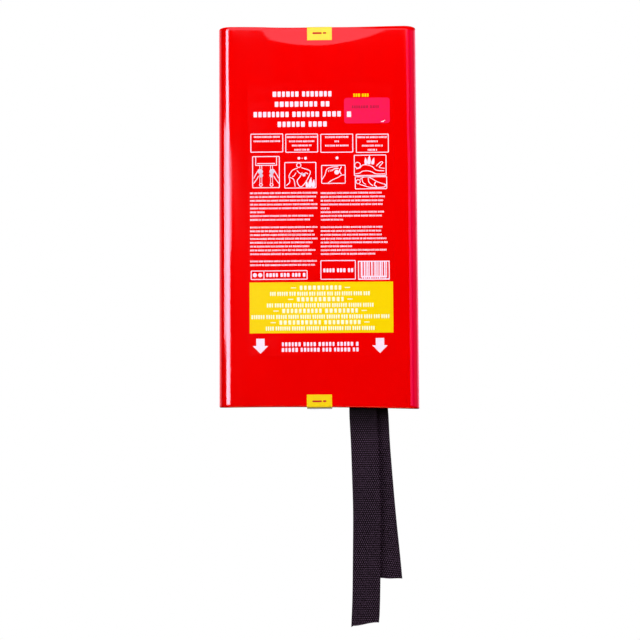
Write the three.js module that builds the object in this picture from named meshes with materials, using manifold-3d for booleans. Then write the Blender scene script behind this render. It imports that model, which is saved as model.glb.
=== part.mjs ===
// A fire blanket in its wall case: two moulded shells clipped together and open at the bottom, a folded
// glass-fibre blanket inside, and two webbing straps that hang out of the mouth to pull it out by.
// Millimetres. The origin is where the case hangs, on its back face midway between the two keyholes.
// +Z is up, and the front faces -Y.
import * as THREE from "three";
import { mergeVertices } from "three/addons/utils/BufferGeometryUtils.js";
import Module from "manifold-3d";

const wasm = await Module();
wasm.setup();

// The case, outside.
const CASE_WIDTH = 182;
const CASE_HEIGHT = 350;
const CASE_DEPTH = 37; // from the wall to the front face
const BACK_Y = -0.6; // the back face, which the wall pads hold off the wall
const CASE_TOP = 24; // above the hanging point
const CASE_BOTTOM = CASE_TOP - CASE_HEIGHT;
const SIDE_RADIUS = 11; // of the four long edges
const END_RADIUS = 1.5; // of the edges round the top and the bottom
const INNER_RADIUS = 0.6; // of the same edges on the inside of the walls
const WALL = 2.4;
const LIP = 3.4; // from the outside to the edge of the mouth
const LIP_HEIGHT = 10;
const ROOT = 1; // how far a joined feature runs into the wall it stands on
const THROUGH = 10; // the length of a cut that goes right through a wall

// The joint of the two shells: a tongue on the rear shell that the front cover laps over.
const PART_Y = -17;
const SEAM = 0.4; // the open line that shows between the shells
const TONGUE = 1; // its thickness
const TONGUE_REACH = 4;
const TONGUE_ROOT = 2;
const TONGUE_BOTTOM = CASE_BOTTOM + END_RADIUS + 1;
const LAP_GAP = 0.3;
const CATCH_HEIGHTS = [-20, -100, -180, -260];
const CATCH_LENGTH = 14;
const CATCH_WIDTH = 1.8;
const CATCH_DEPTH = 0.7;
const CATCH_ROOT = 0.7;

// Inside the shells.
const REAR_RIB_XS = [-66, -22, 22, 66];
const REAR_RIB_HEIGHTS = [-300, -24];
const FRONT_RIB_XS = [-66, -22, 14];
const FRONT_RIB_HEIGHTS = [-296, 4];
const RIB_WIDTH = 1.4;
const RIB_DEPTH = 1.3;
const STOP_Z = -15; // the shelf that keeps the blanket off the screw heads
const STOP_REACH = 11;
const STOP_HALF_WIDTH = 62;
const STOP_THICKNESS = 1.6;

// The pads on the back that touch the wall, the upper one round the keyholes.
const PAD_HALF_WIDTH = 68;
const PAD_RADIUS = 5;
const PAD_HEIGHTS = [
  [-22, 9],
  [-300, -284],
];

// The keyholes, which hang on two screws.
const KEYHOLE_SPACING = 100;
const SCREW_HEAD_RADIUS = 4.5;
const SCREW_SHANK_RADIUS = 2.5;
const KEYHOLE_DROP = 9; // from the hanging point down to the wide end's middle

// The folded blanket: bundles of cloth that turn over at the top and the bottom.
const PACK_WIDTH = 158;
const PACK_FRONT = -30;
const PACK_BACK = -4.8;
const PACK_TOP = -18;
const PACK_BOTTOM = -316;
const BUNDLES = 6;
const PACK_EDGE = 2; // how far in its side edges start to round off
const PACK_EDGE_DROP = 0.8; // and how much each bundle thins there

// The pull straps.
const STRAP_WIDTH = 25;
const STRAP_THICKNESS = 1.6;
const STRAP_STEP = 8; // between the points along its edges
const STRAP_SAMPLES = 200; // of its smooth middle line
const PIVOT_Z = -327.7; // where the straps bend as they are lifted, just under the mouth
const PIVOT_GAP = 1; // on either side of it
const LONG_STRAP_Y = -31.2; // the middle of its thickness
const SHORT_STRAP_Y = -24.9;
const SLOT_GAP = 0.6; // round the short strap's end, between the first two bundles
const THREAD = 0.4;
const THREAD_GAP = 0.05;
const STITCH_MARGIN = 3; // from the strap's edges to the box stitch
const STITCH_TOP = 4; // from the strap's top end down to it
const STITCH_HEIGHT = 44;
const STITCH_ROW = 2.1;
// Down the middle of each strap, from the top of its sewn end to its cut end: [x, z].
const LONG_STRAP_LINE = [
  [40.2, -254],
  [40.2, -316],
  [40.4, -334],
  [41.5, -358],
  [42.3, -386],
  [43, -420],
  [42.4, -460],
  [41.8, -496],
  [40.7, -521.6],
];
const SHORT_STRAP_LINE = [
  [50.2, -254],
  [50.2, -316],
  [51, -336],
  [52.2, -362],
  [54.6, -396],
  [57.2, -428],
  [59.8, -456],
  [62, -480],
];
const LONG_CUT_RISE = 4.2; // the right corner of the cut end is higher than the left one

// The stickers.
const FILM = 0.2;
const FILM_GAP = 0.06;
const LABEL = { x: [-63.2, 70.2], z: [-279.5, -29] };
const LOT_STICKER = { x: [25.4, 67.2], z: [-67.2, -43.5] };
const SEAL_WIDTH = 22.7;
const TOP_SEAL_X = 3.4;
const BOTTOM_SEAL_X = 1.4;
const TOP_SEAL_TAB = 13.5; // on the front and on the back
const BOTTOM_SEAL_TAB = 11.8;
const SEAL_TEAR = 0.4; // between the pieces that the bottom seal tears into
const SEAL_TEAR_INSET = 4; // from the case's front and back faces to the two tears

const COLOURS = {
  red: { color: 0xd8070b, roughness: 0.14, metalness: 0 },
  rear: { color: 0xc2060a, roughness: 0.3, metalness: 0 },
  film: { color: 0xf4f2f2, roughness: 0.2, metalness: 0 },
  pink: { color: 0xff1a64, roughness: 0.3, metalness: 0 },
  yellow: { color: 0xffe000, roughness: 0.35, metalness: 0 },
  cloth: { color: 0xe9e6dc, roughness: 0.8, metalness: 0 },
  webbing: { color: 0x1c171c, roughness: 0.85, metalness: 0 },
  thread: { color: 0xe4e0d4, roughness: 0.8, metalness: 0 },
};

// A closed geometry as a solid that can be joined and cut.
function solid(geometry) {
  const bare = geometry.clone();
  bare.deleteAttribute("normal");
  bare.deleteAttribute("uv");
  const merged = mergeVertices(bare, 1e-4);
  return new wasm.Manifold(
    new wasm.Mesh({
      numProp: 3,
      vertProperties: new Float32Array(merged.attributes.position.array),
      triVerts: new Uint32Array(merged.index.array),
    }),
  );
}

function geometryOf(body) {
  const mesh = body.getMesh();
  const geometry = new THREE.BufferGeometry();
  geometry.setAttribute("position", new THREE.BufferAttribute(mesh.vertProperties, 3));
  geometry.setIndex(new THREE.BufferAttribute(mesh.triVerts, 1));
  geometry.computeVertexNormals();
  return geometry;
}

function block(x, y, z) {
  const geometry = new THREE.BoxGeometry(x[1] - x[0], y[1] - y[0], z[1] - z[0]);
  geometry.translate((x[0] + x[1]) / 2, (y[0] + y[1]) / 2, (z[0] + z[1]) / 2);
  return solid(geometry);
}

// The case's outline seen from above, this far inside its outer surface.
function outline(inset) {
  const x = CASE_WIDTH / 2 - inset;
  const back = BACK_Y - inset;
  const front = inset - CASE_DEPTH;
  const r = SIDE_RADIUS - inset;
  const shape = new THREE.Shape();
  shape.absarc(x - r, back - r, r, 0, Math.PI / 2, false);
  shape.absarc(r - x, back - r, r, Math.PI / 2, Math.PI, false);
  shape.absarc(r - x, front + r, r, Math.PI, 1.5 * Math.PI, false);
  shape.absarc(x - r, front + r, r, 1.5 * Math.PI, 2 * Math.PI, false);
  return shape;
}

// The case's whole outer form, this far inside its outer surface.
function caseForm(inset) {
  const r = Math.max(END_RADIUS - inset, INNER_RADIUS);
  const geometry = new THREE.ExtrudeGeometry(outline(inset), {
    depth: CASE_HEIGHT - 2 * inset - 2 * r,
    curveSegments: 8,
    bevelThickness: r,
    bevelSize: r,
    bevelOffset: -r,
    bevelSegments: 4,
  });
  geometry.translate(0, 0, CASE_BOTTOM + inset + r);
  return solid(geometry);
}

// A straight prism of that outline.
function casePrism(inset, z) {
  const geometry = new THREE.ExtrudeGeometry(outline(inset), {
    depth: z[1] - z[0],
    curveSegments: 8,
    bevelEnabled: false,
  });
  geometry.translate(0, 0, z[0]);
  return solid(geometry);
}

const FAR = 400;
const everywhere = [-FAR, FAR];
const behind = (y) => block(everywhere, [y, FAR], [-2 * FAR, FAR]);
const before = (y) => block(everywhere, [-FAR, y], [-2 * FAR, FAR]);

const cavity = caseForm(WALL).add(
  casePrism(LIP, [CASE_BOTTOM - THROUGH, CASE_BOTTOM + LIP_HEIGHT]),
);
const walls = caseForm(0).subtract(cavity);

// One keyhole through the back wall: a wide end below, and a slot that the screw's shank slides up.
function keyhole(x) {
  const wide = new THREE.CylinderGeometry(SCREW_HEAD_RADIUS, SCREW_HEAD_RADIUS, THROUGH, 24);
  wide.translate(x, 0, -KEYHOLE_DROP);
  const end = new THREE.CylinderGeometry(SCREW_SHANK_RADIUS, SCREW_SHANK_RADIUS, THROUGH, 16);
  end.translate(x, 0, 0);
  const half = SCREW_SHANK_RADIUS;
  return solid(wide)
    .add(solid(end))
    .add(block([x - half, x + half], [-THROUGH / 2, THROUGH / 2], [-KEYHOLE_DROP, 0]));
}

// The front cover's catches and the tongue's windows for them, with this much room all round.
function catches(room) {
  const side = CASE_WIDTH / 2 - WALL + TONGUE;
  const half = CATCH_LENGTH / 2 + room;
  const y = PART_Y - TONGUE_REACH / 2;
  let all = null;
  for (const z of CATCH_HEIGHTS) {
    for (const s of [-1, 1]) {
      const ends = [s * (side - CATCH_DEPTH - room), s * (side + CATCH_ROOT)];
      const x = ends.sort((a, b) => a - b);
      const depth = [y - CATCH_WIDTH / 2 - room, y + CATCH_WIDTH / 2 + room];
      const one = block(x, depth, [z - half, z + half]);
      all = all ? all.add(one) : one;
    }
  }
  return all;
}

const rib = (x, y, z) => block([x - RIB_WIDTH / 2, x + RIB_WIDTH / 2], y, z);

// A low pad with round corners on the back face.
function wallPad([low, high]) {
  const x = PAD_HALF_WIDTH - PAD_RADIUS;
  const shape = new THREE.Shape();
  shape.absarc(x, high - PAD_RADIUS, PAD_RADIUS, 0, Math.PI / 2, false);
  shape.absarc(-x, high - PAD_RADIUS, PAD_RADIUS, Math.PI / 2, Math.PI, false);
  shape.absarc(-x, low + PAD_RADIUS, PAD_RADIUS, Math.PI, 1.5 * Math.PI, false);
  shape.absarc(x, low + PAD_RADIUS, PAD_RADIUS, 1.5 * Math.PI, 2 * Math.PI, false);
  const geometry = new THREE.ExtrudeGeometry(shape, {
    depth: ROOT - BACK_Y,
    curveSegments: 5,
    bevelEnabled: false,
  });
  geometry.rotateX(Math.PI / 2);
  return solid(geometry);
}

function rearShell() {
  const tongue = caseForm(WALL - TONGUE)
    .subtract(cavity)
    .subtract(block(everywhere, everywhere, [-2 * FAR, TONGUE_BOTTOM]))
    .intersect(behind(PART_Y - TONGUE_REACH))
    .intersect(before(PART_Y + TONGUE_ROOT));
  let shell = walls.intersect(behind(PART_Y + SEAM / 2)).add(tongue).subtract(catches(LAP_GAP));
  for (const heights of PAD_HEIGHTS) {
    shell = shell.add(wallPad(heights));
  }
  const inner = BACK_Y - WALL;
  for (const x of REAR_RIB_XS) {
    shell = shell.add(rib(x, [inner - RIB_DEPTH, inner + ROOT], REAR_RIB_HEIGHTS));
  }
  const half = STOP_THICKNESS / 2;
  const shelf = block(
    [-STOP_HALF_WIDTH, STOP_HALF_WIDTH],
    [inner - STOP_REACH, inner + ROOT],
    [STOP_Z - half, STOP_Z + half],
  );
  shell = shell.add(shelf);
  for (const s of [-1, 1]) {
    shell = shell.subtract(keyhole((s * KEYHOLE_SPACING) / 2));
  }
  return shell;
}

function frontCover() {
  const lapped = caseForm(WALL - TONGUE - LAP_GAP).intersect(
    behind(PART_Y - TONGUE_REACH - LAP_GAP),
  );
  let cover = walls.intersect(before(PART_Y - SEAM / 2)).subtract(lapped).add(catches(0));
  const inner = WALL - CASE_DEPTH;
  for (const x of FRONT_RIB_XS) {
    cover = cover.add(rib(x, [inner - ROOT, inner + RIB_DEPTH], FRONT_RIB_HEIGHTS));
  }
  return cover;
}

// The blanket's bundles side by side: they turn over in pairs, three at the top and two at the bottom,
// and the first and the last end free at the bottom.
function foldedBlanket() {
  const pitch = (PACK_BACK - PACK_FRONT) / BUNDLES;
  const freeEnd = PACK_BOTTOM + 1;
  const shape = new THREE.Shape();
  shape.moveTo(PACK_FRONT, freeEnd);
  shape.lineTo(PACK_FRONT, PACK_TOP - pitch);
  for (let i = 1; i < BUNDLES; i += 2) {
    shape.absarc(PACK_FRONT + i * pitch, PACK_TOP - pitch, pitch, Math.PI, 0, true);
  }
  shape.lineTo(PACK_BACK, freeEnd);
  shape.lineTo(PACK_BACK - pitch, freeEnd);
  for (let i = BUNDLES - 2; i > 0; i -= 2) {
    shape.absarc(PACK_FRONT + i * pitch, PACK_BOTTOM + pitch, pitch, 0, -Math.PI, true);
  }
  shape.lineTo(PACK_FRONT + pitch, freeEnd);
  const geometry = new THREE.ExtrudeGeometry(shape, {
    depth: PACK_WIDTH - 2 * PACK_EDGE,
    curveSegments: 6,
    bevelThickness: PACK_EDGE,
    bevelSize: PACK_EDGE_DROP,
    bevelOffset: -PACK_EDGE_DROP,
    bevelSegments: 2,
  });
  // The outline's x and y are the pack's y and z, and it is extruded along x.
  const alongX = new THREE.Matrix4().makeBasis(
    new THREE.Vector3(0, 1, 0),
    new THREE.Vector3(0, 0, 1),
    new THREE.Vector3(1, 0, 0),
  );
  geometry.applyMatrix4(alongX);
  geometry.translate(PACK_EDGE - PACK_WIDTH / 2, 0, 0);
  const half = STRAP_THICKNESS / 2 + SLOT_GAP;
  const x = SHORT_STRAP_LINE[0][0];
  const side = STRAP_WIDTH / 2 + SLOT_GAP;
  const top = SHORT_STRAP_LINE[0][1] + SLOT_GAP;
  const slot = block(
    [x - side, x + side],
    [SHORT_STRAP_Y - half - THREAD, SHORT_STRAP_Y + half],
    [PACK_BOTTOM - THROUGH, top],
  );
  return solid(geometry).subtract(slot);
}

// A strap's flat outline between two heights, with its cut end's right corner higher by rise.
function strapOutline(line, top, bottom, rise) {
  const curve = new THREE.SplineCurve(line.map(([x, z]) => new THREE.Vector2(x, z)));
  const samples = curve.getPoints(STRAP_SAMPLES);
  const middleAt = (z) => samples.reduce((a, b) => (Math.abs(b.y - z) < Math.abs(a.y - z) ? b : a)).x;
  const steps = Math.ceil((top - bottom) / STRAP_STEP);
  const left = [];
  const right = [];
  for (let i = 0; i <= steps; i += 1) {
    const z = top + ((bottom - top) * i) / steps;
    const level = i === 0 || i === steps;
    const turn = middleAt(z + STRAP_STEP) - middleAt(z - STRAP_STEP);
    const slope = level ? 0 : turn / (2 * STRAP_STEP);
    const across = new THREE.Vector2(1, -slope).setLength(STRAP_WIDTH / 2);
    const middle = new THREE.Vector2(middleAt(z), z);
    left.push(middle.clone().sub(across));
    right.push(middle.clone().add(across));
  }
  right.at(-1).y += rise;
  return new THREE.Shape([...left, ...right.reverse()]);
}

function strap(line, y, top, bottom, rise = 0) {
  const geometry = new THREE.ExtrudeGeometry(strapOutline(line, top, bottom, rise), {
    depth: STRAP_THICKNESS,
    bevelEnabled: false,
  });
  geometry.rotateX(Math.PI / 2);
  geometry.translate(0, y + STRAP_THICKNESS / 2, 0);
  return solid(geometry);
}

// A strap's sewn end lies on the cloth, and its hanging part swings under the mouth.
const sewnEnd = (line, y) => strap(line, y, line[0][1], PIVOT_Z + PIVOT_GAP);
const hangingPart = (line, y, rise = 0) => strap(line, y, PIVOT_Z - PIVOT_GAP, line.at(-1)[1], rise);

// A box stitch with a cross in it, on the front of a strap's sewn end.
function boxStitch(line, y) {
  const [x, top] = line[0];
  const half = STRAP_WIDTH / 2 - STITCH_MARGIN;
  const high = top - STITCH_TOP;
  const low = high - STITCH_HEIGHT;
  const middle = new THREE.Vector2(x, (high + low) / 2);
  const corners = [
    new THREE.Vector2(x - half, high),
    new THREE.Vector2(x + half, high),
    new THREE.Vector2(x + half, low),
    new THREE.Vector2(x - half, low),
  ];
  const shape = new THREE.Shape(corners);
  corners.forEach((corner, i) => {
    const next = corners[(i + 1) % corners.length];
    const centre = corner.clone().add(next).add(middle).divideScalar(3);
    const hole = [corner, middle, next].map((point) => {
      const inward = centre.clone().sub(point);
      return point.clone().add(inward.setLength(STITCH_ROW));
    });
    shape.holes.push(new THREE.Path(hole));
  });
  const geometry = new THREE.ExtrudeGeometry(shape, { depth: THREAD, bevelEnabled: false });
  geometry.rotateX(Math.PI / 2);
  geometry.translate(0, y - STRAP_THICKNESS / 2 - THREAD_GAP, 0);
  return solid(geometry);
}

// A sticker bent over the case's top or bottom edge, from its front face to its back face.
function sealStrip(x, z) {
  const half = SEAL_WIDTH / 2;
  return caseForm(-FILM - FILM_GAP)
    .subtract(caseForm(-FILM_GAP))
    .intersect(block([x - half, x + half], everywhere, z));
}

const topSeal = sealStrip(TOP_SEAL_X, [CASE_TOP - TOP_SEAL_TAB, FAR]);
const bottomSeal = sealStrip(BOTTOM_SEAL_X, [-2 * FAR, CASE_BOTTOM + BOTTOM_SEAL_TAB]);
const tearFront = SEAL_TEAR_INSET - CASE_DEPTH;
const tearBack = BACK_Y - SEAL_TEAR_INSET;
const bridge = bottomSeal
  .intersect(behind(tearFront + SEAL_TEAR / 2))
  .intersect(before(tearBack - SEAL_TEAR / 2));

function film(area, layer) {
  const front = -CASE_DEPTH - FILM_GAP - layer * (FILM + FILM_GAP);
  return block(area.x, [front - FILM, front], area.z);
}

const PARTS = [
  ["rear_shell", "rear", rearShell()],
  ["front_cover", "red", frontCover()],
  ["instruction_label", "film", film(LABEL, 0)],
  ["lot_sticker", "pink", film(LOT_STICKER, 1)],
  ["top_seal", "yellow", topSeal],
  ["bottom_seal_front_tab", "yellow", bottomSeal.intersect(before(tearFront - SEAL_TEAR / 2))],
  ["bottom_seal_bridge", "yellow", bridge],
  ["bottom_seal_rear_tab", "yellow", bottomSeal.intersect(behind(tearBack + SEAL_TEAR / 2))],
  ["folded_blanket", "cloth", foldedBlanket()],
  ["long_strap_sewn_end", "webbing", sewnEnd(LONG_STRAP_LINE, LONG_STRAP_Y)],
  ["short_strap_sewn_end", "webbing", sewnEnd(SHORT_STRAP_LINE, SHORT_STRAP_Y)],
  ["long_strap_stitching", "thread", boxStitch(LONG_STRAP_LINE, LONG_STRAP_Y)],
  ["short_strap_stitching", "thread", boxStitch(SHORT_STRAP_LINE, SHORT_STRAP_Y)],
  ["pull_strap_long", "webbing", hangingPart(LONG_STRAP_LINE, LONG_STRAP_Y, LONG_CUT_RISE)],
  ["pull_strap_short", "webbing", hangingPart(SHORT_STRAP_LINE, SHORT_STRAP_Y)],
];

const fireBlanket = new THREE.Group();
for (const [name, colour, body] of PARTS) {
  const mesh = new THREE.Mesh(geometryOf(body), new THREE.MeshStandardMaterial(COLOURS[colour]));
  mesh.name = name;
  fireBlanket.add(mesh);
}

export default fireBlanket;
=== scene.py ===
"""The looks of a fire blanket in its red wall case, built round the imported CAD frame.

Lengths in this script are millimetres in the part's own frame until a mesh is made, which is in metres.
The front of the case faces -Y, and the origin is on the wall between its two keyholes.
"""

import math
import random

import bmesh
import bpy
import numpy as np
from mathutils import Matrix, Vector


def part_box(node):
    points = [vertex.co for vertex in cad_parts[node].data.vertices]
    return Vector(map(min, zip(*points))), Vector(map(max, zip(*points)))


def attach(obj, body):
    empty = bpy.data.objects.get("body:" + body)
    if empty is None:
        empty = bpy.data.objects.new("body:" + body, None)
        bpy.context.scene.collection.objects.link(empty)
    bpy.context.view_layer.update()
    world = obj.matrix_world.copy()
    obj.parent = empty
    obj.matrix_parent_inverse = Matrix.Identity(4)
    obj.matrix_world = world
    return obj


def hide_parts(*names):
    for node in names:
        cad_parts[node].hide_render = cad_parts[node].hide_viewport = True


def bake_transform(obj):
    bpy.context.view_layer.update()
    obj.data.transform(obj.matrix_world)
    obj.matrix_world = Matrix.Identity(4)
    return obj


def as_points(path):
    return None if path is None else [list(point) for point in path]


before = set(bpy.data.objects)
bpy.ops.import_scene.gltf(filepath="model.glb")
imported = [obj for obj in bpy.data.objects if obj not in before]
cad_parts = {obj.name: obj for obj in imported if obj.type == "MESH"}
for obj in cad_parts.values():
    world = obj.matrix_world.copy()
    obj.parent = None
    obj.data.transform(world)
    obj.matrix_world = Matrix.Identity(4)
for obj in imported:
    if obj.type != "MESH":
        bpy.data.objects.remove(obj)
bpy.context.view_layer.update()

MM = 0.001
rng = random.Random(7)


def box_mm(node):
    """A CAD node's lowest and highest corners, in millimetres."""
    low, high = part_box(node)
    return [c / MM for c in low], [c / MM for c in high]


# ---- camera

CAMERA_PLACE = (19.8, -1242.4, -326.5)
CAMERA_TURN = math.radians(-0.883)  # to the left
CAMERA_TILT = math.radians(3.78)  # upwards
CAMERA_ROLL = math.radians(-0.35)
LENS = 75.12
SENSOR = 36.0


def make_camera():
    data = bpy.data.cameras.new("camera")
    data.lens = LENS
    data.sensor_width = SENSOR
    data.clip_start = 0.05
    data.clip_end = 50
    camera = bpy.data.objects.new("camera", data)
    bpy.context.collection.objects.link(camera)
    forward = Vector((math.sin(CAMERA_TURN), math.cos(CAMERA_TURN), 0))
    level = Vector((math.cos(CAMERA_TURN), -math.sin(CAMERA_TURN), 0))
    ahead = forward * math.cos(CAMERA_TILT) + Vector((0, 0, math.sin(CAMERA_TILT)))
    right = level * math.cos(CAMERA_ROLL) + level.cross(ahead) * math.sin(CAMERA_ROLL)
    up = right.cross(ahead)
    turn = Matrix((right, up, -ahead)).transposed()
    camera.matrix_world = Matrix.Translation(Vector(CAMERA_PLACE) * MM) @ turn.to_4x4()
    bpy.context.scene.camera = camera


make_camera()

# ---- meshes


class Shape:
    """Points in millimetres and faces, gathered into one mesh."""

    def __init__(self):
        self.points = []
        self.faces = []
        self.marks = []  # each face's material
        self.mark = 0

    def add(self, points, faces):
        first = len(self.points)
        self.points.extend(tuple(p) for p in points)
        self.faces.extend(tuple(first + i for i in f) for f in faces)
        self.marks.extend([self.mark] * len(faces))

    def grid(self, rows, close_rows=False, close_columns=False):
        """Quads between rows of equally many points."""
        across = len(rows[0])
        down = len(rows)
        faces = []
        for j in range(down if close_rows else down - 1):
            for i in range(across if close_columns else across - 1):
                a, b = j * across, (j + 1) % down * across
                k = (i + 1) % across
                faces.append((a + i, a + k, b + k, b + i))
        self.add([p for row in rows for p in row], faces)

    def prism(self, outline, low, high, place, bevel=0.0):
        """A flat outline made solid between two depths. place(u, v, depth) gives a point in the part's
        frame. With a bevel, the outline is that much smaller at the high depth."""
        n = len(outline)
        levels = [(outline, low), (outline, high - bevel)]
        if bevel:
            levels.append((inset_outline(outline, bevel), high))
        points = [place(u, v, depth) for ring, depth in levels for u, v in ring]
        faces = [tuple(range(n - 1, -1, -1)), tuple((len(levels) - 1) * n + i for i in range(n))]
        for level in range(len(levels) - 1):
            for i in range(n):
                a, b = level * n + i, level * n + (i + 1) % n
                faces.append((a, b, b + n, a + n))
        self.add(points, faces)

    def sweep(self, rings, closed=False):
        """A solid through rings of equally many points: with capped ends, or joined end to start."""
        first = len(self.points)
        self.grid(rings, close_rows=closed, close_columns=True)
        if closed:
            return
        sides = len(rings[0])
        last = first + (len(rings) - 1) * sides
        self.faces.append(tuple(first + k for k in range(sides - 1, -1, -1)))
        self.faces.append(tuple(last + k for k in range(sides)))
        self.marks.extend([self.mark] * 2)

    def tube(self, path, radius):
        """A six-sided rod along a path of points, with closed ends."""
        path = [Vector(p) for p in path]
        rings = []
        side = None
        for i, p in enumerate(path):
            ahead = (path[min(i + 1, len(path) - 1)] - path[max(i - 1, 0)]).normalized()
            if side is None:
                side = ahead.orthogonal().normalized()
            side = (side - ahead * side.dot(ahead)).normalized()
            other = ahead.cross(side)
            ring = []
            for k in range(6):
                a = 2 * math.pi * k / 6
                ring.append(tuple(p + (side * math.cos(a) + other * math.sin(a)) * radius))
            rings.append(ring)
        self.sweep(rings)

    def build(self, name, materials, sharp_angle=38, merge=0.0005):
        """The shape as an object, with its doubled points merged and its normals facing out."""
        mesh = bpy.data.meshes.new(name)
        mesh.from_pydata([tuple(c * MM for c in p) for p in self.points], [], self.faces)
        for material in materials:
            mesh.materials.append(material)
        mesh.polygons.foreach_set("material_index", self.marks)
        bm = bmesh.new()
        bm.from_mesh(mesh)
        if merge:
            bmesh.ops.remove_doubles(bm, verts=bm.verts, dist=merge * MM)
            bmesh.ops.dissolve_degenerate(bm, edges=bm.edges, dist=merge * MM)
        bmesh.ops.recalc_face_normals(bm, faces=bm.faces)
        bm.to_mesh(mesh)
        bm.free()
        obj = bpy.data.objects.new(name, mesh)
        bpy.context.collection.objects.link(obj)
        shade(obj, sharp_angle)
        return obj


def shade(obj, sharp_angle=38):
    """Smooth shading, with a hard edge wherever the surface turns more sharply than this."""
    mesh = obj.data
    mesh.polygons.foreach_set("use_smooth", [True] * len(mesh.polygons))
    mesh.set_sharp_from_angle(angle=math.radians(sharp_angle))
    mesh.update()


def inset_outline(outline, by):
    """A counter-clockwise outline moved inwards."""
    n = len(outline)
    made = []
    for i in range(n):
        a, b, c = (Vector(outline[(i + k) % n]) for k in (-1, 0, 1))
        before, after = (b - a).normalized(), (c - b).normalized()
        normal = Vector((-before.y - after.y, before.x + after.x))
        length = max(normal.length_squared / 2, 0.3)
        made.append(tuple(b + normal / length * by))
    return made


def circle(x, z, radius):
    angles = [math.pi * k / 8 for k in range(16)]
    return [(x + radius * math.cos(a), z + radius * math.sin(a)) for a in angles]


def declare(piece, body, node, slot):
    """The piece rides on a body, and may stand for a CAD node."""
    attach(piece, body)
    if node:
        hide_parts(node)
    return piece


def add_piece(shape, name, materials, body, node, slot, **settings):
    return declare(shape.build(name, materials, merge=0, **settings), body, node, slot)


def round_rectangle(x0, z0, x1, z1, radius, steps=4):
    """A counter-clockwise rectangle with round corners."""
    corners = [(x1, z1, 0), (x0, z1, 90), (x0, z0, 180), (x1, z0, 270)]
    made = []
    for x, z, start in corners:
        cx = x - radius if x == x1 else x + radius
        cz = z - radius if z == z1 else z + radius
        for k in range(steps + 1):
            a = math.radians(start + 90 * k / steps)
            made.append((cx + radius * math.cos(a), cz + radius * math.sin(a)))
    return made


def smooth_line(points, steps):
    """Points along a smooth curve through the given ones."""
    points = [Vector(p) for p in points]
    ends = [2 * points[0] - points[1]], [2 * points[-1] - points[-2]]
    through = ends[0] + points + ends[1]
    made = []
    for i in range(1, len(through) - 2):
        a, b, c, d = through[i - 1 : i + 3]
        for k in range(steps):
            t = k / steps
            bend = (2 * a - 5 * b + 4 * c - d) * t + (3 * (b - c) + d - a) * t * t
            made.append(b + ((c - a) + bend) * t / 2)
    return made + [points[-1]]


def ease(value, low, high):
    """0 below low, 1 above high, and a smooth step between."""
    t = min(max((value - low) / (high - low), 0), 1)
    return t * t * (3 - 2 * t)


def combine(target, tool, operation):
    """Joins a tool to the target, or cuts it out, and removes the tool."""
    modifier = target.modifiers.new("combine", "BOOLEAN")
    modifier.operation = operation
    modifier.solver = "EXACT"
    modifier.object = tool
    depsgraph = bpy.context.evaluated_depsgraph_get()
    mesh = bpy.data.meshes.new_from_object(target.evaluated_get(depsgraph))
    target.modifiers.clear()
    target.data = mesh
    bpy.data.objects.remove(tool)


# ---- materials


def linear(red, green, blue):
    """A screen colour, 0 to 255, as the linear colour that shaders take."""
    made = []
    for c in (red, green, blue):
        c /= 255
        made.append(c / 12.92 if c <= 0.04045 else ((c + 0.055) / 1.055) ** 2.4)
    return (*made, 1)


class Material:
    """A node material with one Principled shader, and short calls for its textures."""

    def __init__(self, name, colour, roughness, **sockets):
        self.made = bpy.data.materials.new(name)
        self.made.use_nodes = True
        self.tree = self.made.node_tree
        self.shader = self.tree.nodes["Principled BSDF"]
        self.shader.inputs["Base Color"].default_value = colour
        self.shader.inputs["Roughness"].default_value = roughness
        for socket, value in sockets.items():
            self.shader.inputs[socket.replace("_", " ").title().replace("Ior", "IOR")].default_value = value
        self.place = self.node("ShaderNodeTexCoord").outputs["Object"]

    def node(self, kind, inputs=None, **settings):
        made = self.tree.nodes.new(kind)
        for key, value in settings.items():
            setattr(made, key, value)
        for key, value in (inputs or {}).items():
            if isinstance(value, bpy.types.NodeSocket):
                self.tree.links.new(value, made.inputs[key])
            else:
                made.inputs[key].default_value = value
        return made

    def link(self, output, socket):
        self.tree.links.new(output, self.shader.inputs[socket])

    def stretch(self, x, y, z):
        """The place, in metres, scaled along each axis."""
        inputs = {0: self.place, 1: (x, y, z)}
        return self.node("ShaderNodeVectorMath", inputs, operation="MULTIPLY").outputs[0]

    def noise(self, scale, detail=2, vector=None):
        inputs = {"Vector": vector or self.place, "Scale": scale, "Detail": detail, "Roughness": 0.5}
        return self.node("ShaderNodeTexNoise", inputs).outputs["Fac"]

    def height(self):
        return self.node("ShaderNodeSeparateXYZ", {0: self.place}).outputs["Z"]

    def fit(self, value, low, high, to_low, to_high):
        inputs = {"Value": value, "From Min": low, "From Max": high, "To Min": to_low, "To Max": to_high}
        return self.node("ShaderNodeMapRange", inputs).outputs["Result"]

    def math(self, operation, a, b=0.0):
        return self.node("ShaderNodeMath", {0: a, 1: b}, operation=operation).outputs[0]

    def mix(self, share, a, b):
        made = self.node("ShaderNodeMix", {"Factor": share}, data_type="RGBA")
        for socket, value in ((6, a), (7, b)):
            if isinstance(value, bpy.types.NodeSocket):
                self.tree.links.new(value, made.inputs[socket])
            else:
                made.inputs[socket].default_value = value
        return made.outputs[2]

    def cloud(self, noise, low, high, dark, light):
        """The base colour, between two screen colours where the noise goes from low to high."""
        share = self.fit(noise, low, high, 0, 1)
        self.link(self.mix(share, linear(*dark), linear(*light)), "Base Color")

    def bump(self, height, distance):
        inputs = {"Height": height, "Distance": distance, "Strength": 1.0}
        normal = self.node("ShaderNodeBump", inputs).outputs["Normal"]
        self.link(normal, "Normal")


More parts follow.
